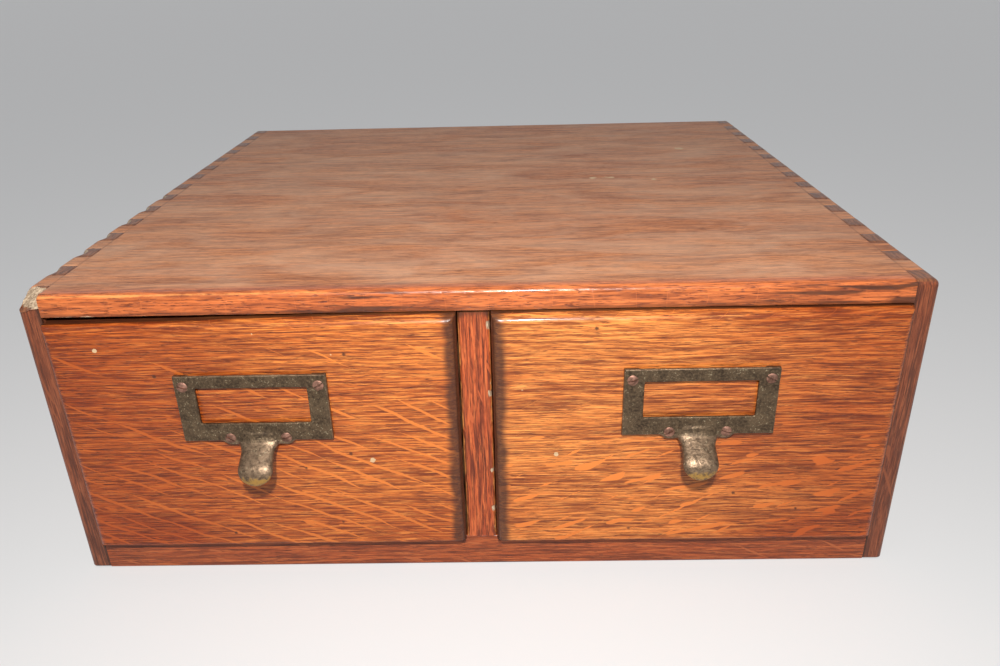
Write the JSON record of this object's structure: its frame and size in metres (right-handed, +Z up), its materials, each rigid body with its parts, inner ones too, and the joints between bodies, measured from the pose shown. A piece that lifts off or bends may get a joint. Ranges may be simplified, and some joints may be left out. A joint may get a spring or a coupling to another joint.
{
  "type": "index card drawer cabinet",
  "caption": "Desk-top oak card file: a finger-jointed case with side-by-side card drawers, cast label-holder pulls and sliding card followers.",
  "frame": {"origin": "on the surface that the file stands on, under the middle of its whole box, thumb pulls included", "axes": "+X along the front to the viewer's right, +Y from the drawer fronts to the back, +Z up"},
  "size_m": [0.42, 0.4172, 0.157],
  "materials": {
    "oak_face": "glossy aged varnish on quarter-sawn oak",
    "oak_case": "worn satin varnish on quarter-sawn oak",
    "oak_inside": "bare aged oak",
    "cast_brass": "dark patina, worn bright at the tip",
    "copper_screw": "dull coppered screw heads",
    "steel": "dull grey",
    "spring_steel": "blued"
  },
  "bodies": {
    "case": {"case_top": "oak_case", "case_side_left": "oak_case", "case_side_right": "oak_case", "front_rail": "oak_case", "back_rail": "oak_inside", "case_floor": "oak_inside", "case_back": "oak_inside", "back_nails": "steel", "divider_stile": "oak_case", "divider_panel": "oak_inside", "drawer_stops": "oak_inside"},
    "left_drawer": {"left_drawer_front": "oak_face", "left_drawer_side_left": "oak_inside", "left_drawer_side_right": "oak_inside", "left_drawer_back": "oak_inside", "left_drawer_bottom": "oak_inside", "left_pull": "cast_brass", "left_pull_screws": "copper_screw", "left_follower_guide": "oak_inside"},
    "left_follower": {"left_follower_block": "oak_inside", "left_follower_cleat_left": "oak_inside", "left_follower_cleat_right": "oak_inside", "left_follower_board": "oak_inside", "left_follower_spring": "spring_steel", "left_follower_nails": "steel"},
    "right_drawer": {"right_drawer_front": "oak_face", "right_drawer_side_left": "oak_inside", "right_drawer_side_right": "oak_inside", "right_drawer_back": "oak_inside", "right_drawer_bottom": "oak_inside", "right_pull": "cast_brass", "right_pull_screws": "copper_screw", "right_follower_guide": "oak_inside"},
    "right_follower": {"right_follower_block": "oak_inside", "right_follower_cleat_left": "oak_inside", "right_follower_cleat_right": "oak_inside", "right_follower_board": "oak_inside", "right_follower_spring": "spring_steel", "right_follower_nails": "steel"}
  },
  "joints": [
    {"name": "left_drawer_slide", "type": "slide", "parent": "case", "child": "left_drawer", "axis": [0, -1, 0], "range_m": [0, 0.3]},
    {"name": "left_follower_slide", "type": "slide", "parent": "left_drawer", "child": "left_follower", "axis": [0, -1, 0], "range_m": [0, 0.291]},
    {"name": "right_drawer_slide", "type": "slide", "parent": "case", "child": "right_drawer", "axis": [0, -1, 0], "range_m": [0, 0.3]},
    {"name": "right_follower_slide", "type": "slide", "parent": "right_drawer", "child": "right_follower", "axis": [0, -1, 0], "range_m": [0, 0.291]}
  ]
}
